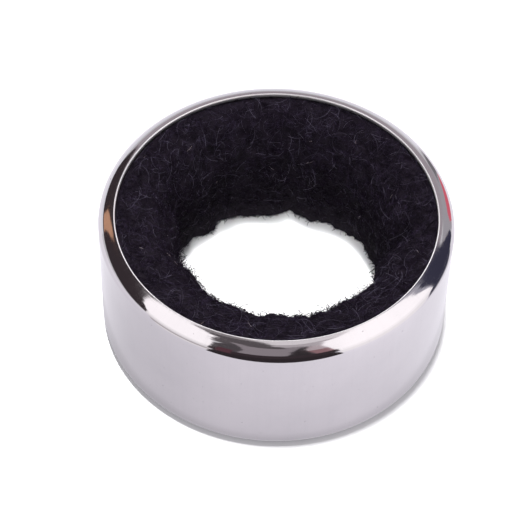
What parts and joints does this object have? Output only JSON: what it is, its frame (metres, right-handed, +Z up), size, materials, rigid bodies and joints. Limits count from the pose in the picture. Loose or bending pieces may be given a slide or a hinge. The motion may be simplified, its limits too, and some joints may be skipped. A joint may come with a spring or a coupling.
{
  "type": "bottle drip ring",
  "caption": "Polished steel ring with rounded, turned-in lips and a thick black pile lining, slipped over a bottle's neck to catch drips.",
  "frame": {"origin": "centre of the ring's lower face, on its axis", "axes": "+Z up along the ring's axis; the butt joint of the lining strip lies towards +Y"},
  "size_m": [0.042, 0.042, 0.018],
  "materials": {
    "polished_steel": "polished",
    "adhesive": "satin",
    "knit_backing": "matte",
    "black_pile": "matte"
  },
  "bodies": {
    "root": {"steel_shell": "polished_steel", "adhesive_film": "adhesive", "liner_backing": "knit_backing", "pile_lining": "black_pile"}
  },
  "joints": []
}
